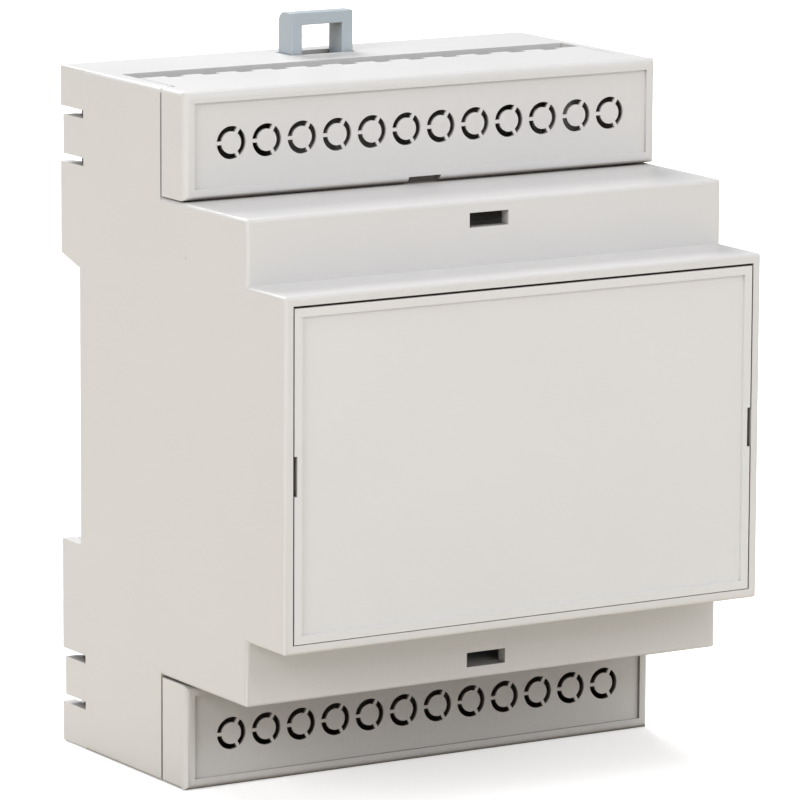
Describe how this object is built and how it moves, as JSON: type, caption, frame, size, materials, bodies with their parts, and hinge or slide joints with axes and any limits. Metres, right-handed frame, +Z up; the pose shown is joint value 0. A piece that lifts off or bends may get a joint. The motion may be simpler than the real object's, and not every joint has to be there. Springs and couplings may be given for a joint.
{
  "type": "din rail enclosure",
  "caption": "Stepped plastic enclosure for a 35 mm mounting rail, with knock-out terminal covers, a snap-in front panel and a sliding rail clip.",
  "frame": {"origin": "centre of the footprint, on the bottom face that the enclosure stands on", "axes": "+Z up along the enclosure's height and the rail clip's travel, +Y towards the rail at the rear, so the front panel faces -Y, X along the rail"},
  "size_m": [0.071, 0.058, 0.0955],
  "materials": {
    "shell": "moulded light grey plastic with a soft sheen",
    "base": "moulded light grey plastic, a little plainer than the hood",
    "panel": "moulded light grey plastic with a fine matt face",
    "cover": "moulded light grey plastic with a matt recessed face",
    "clip": "blue-grey moulded plastic"
  },
  "bodies": {
    "enclosure": {"hood": "shell", "base": "base", "front_panel": "panel", "upper_terminal_cover": "cover", "lower_terminal_cover": "cover"},
    "clip": {"rail_clip": "clip"}
  },
  "joints": [
    {"name": "clip_slide", "type": "slide", "parent": "enclosure", "child": "clip", "axis": [0, 0, 1], "range_m": [0, 0.0035]}
  ]
}
